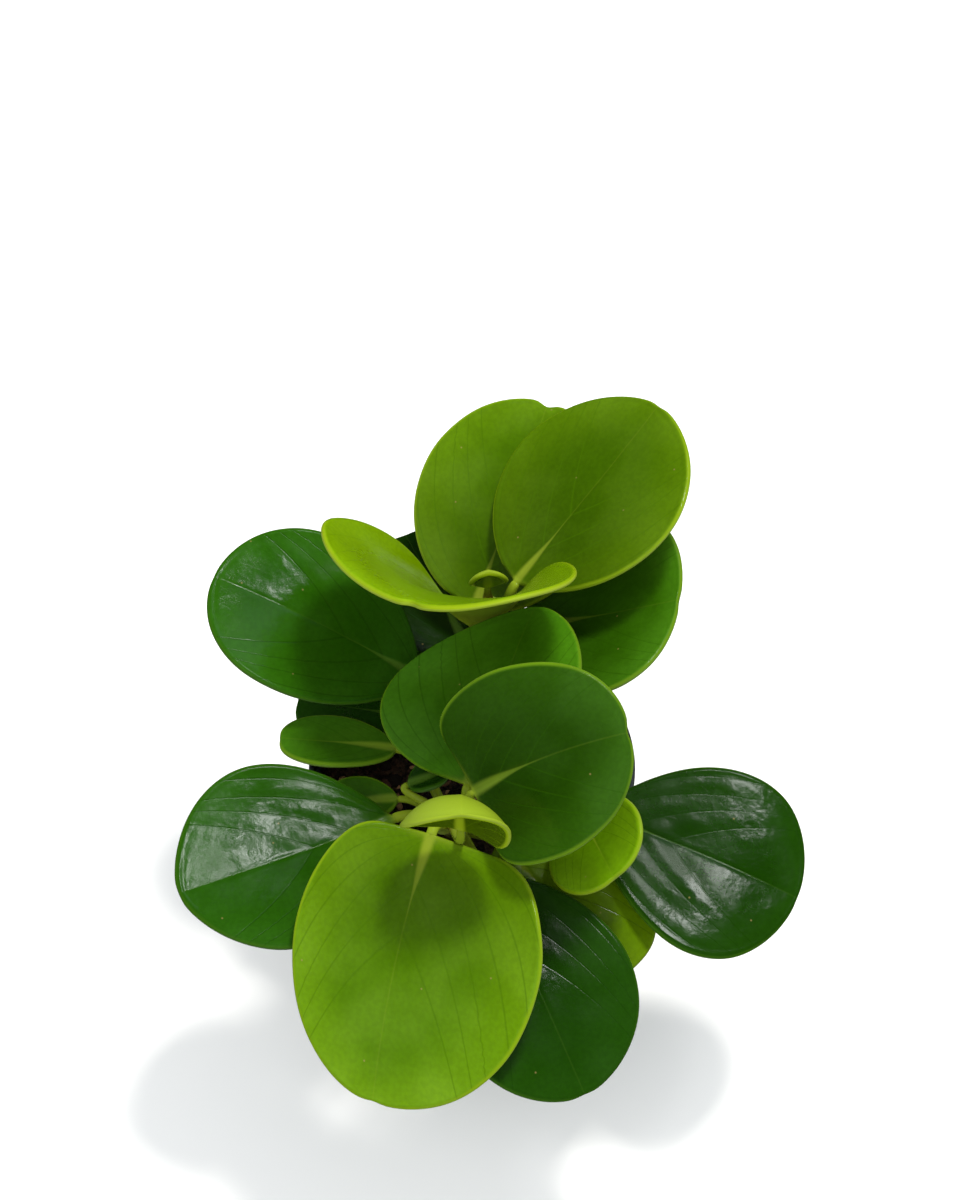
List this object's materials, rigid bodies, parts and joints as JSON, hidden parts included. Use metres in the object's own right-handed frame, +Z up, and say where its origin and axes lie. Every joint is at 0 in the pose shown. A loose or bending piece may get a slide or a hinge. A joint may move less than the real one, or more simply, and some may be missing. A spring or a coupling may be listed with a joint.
{
  "type": "potted peperomia",
  "caption": "Peperomia house plant with broad fleshy spoon-shaped leaves on short stalks, rooted in soil in a small round plastic nursery pot.",
  "frame": {"origin": "middle of the pot's flat base, on the surface that the pot stands on", "axes": "+Z up along the pot's axis, -Y towards the side that the reference view looks from, +X to that view's right"},
  "size_m": [0.1919, 0.2291, 0.1907],
  "materials": {
    "pot_plastic": "moulded black polypropylene, satin",
    "soil": "moist peat and bark potting mix",
    "stem": "smooth fleshy stem",
    "leaf_lime": "young waxy leaf, satin",
    "leaf_bright": "waxy leaf, glossy",
    "leaf_mid": "waxy leaf, glossy",
    "leaf_olive": "waxy leaf, glossy",
    "leaf_dark": "old waxy leaf, glossy"
  },
  "bodies": {
    "root": {"pot": "pot_plastic", "soil": "soil", "stem_back": "stem", "stem_front": "stem", "stem_right": "stem", "leaf_crown_right": "leaf_bright", "leaf_crown_back": "leaf_bright", "leaf_crown_front": "leaf_lime", "leaf_crown_bud": "leaf_lime", "leaf_mid_right": "leaf_mid", "leaf_low_left": "leaf_dark", "leaf_low_back": "leaf_dark", "leaf_under_left": "leaf_dark", "leaf_inner_back": "leaf_mid", "leaf_inner_right": "leaf_mid", "leaf_front": "leaf_bright", "leaf_hood": "leaf_lime", "leaf_left": "leaf_dark", "leaf_low_front": "leaf_dark", "leaf_under_right": "leaf_olive", "leaf_small_left": "leaf_mid", "leaf_shoot_left": "leaf_mid", "leaf_shoot_back": "leaf_dark", "leaf_right": "leaf_dark", "leaf_small_right": "leaf_bright"}
  },
  "joints": []
}
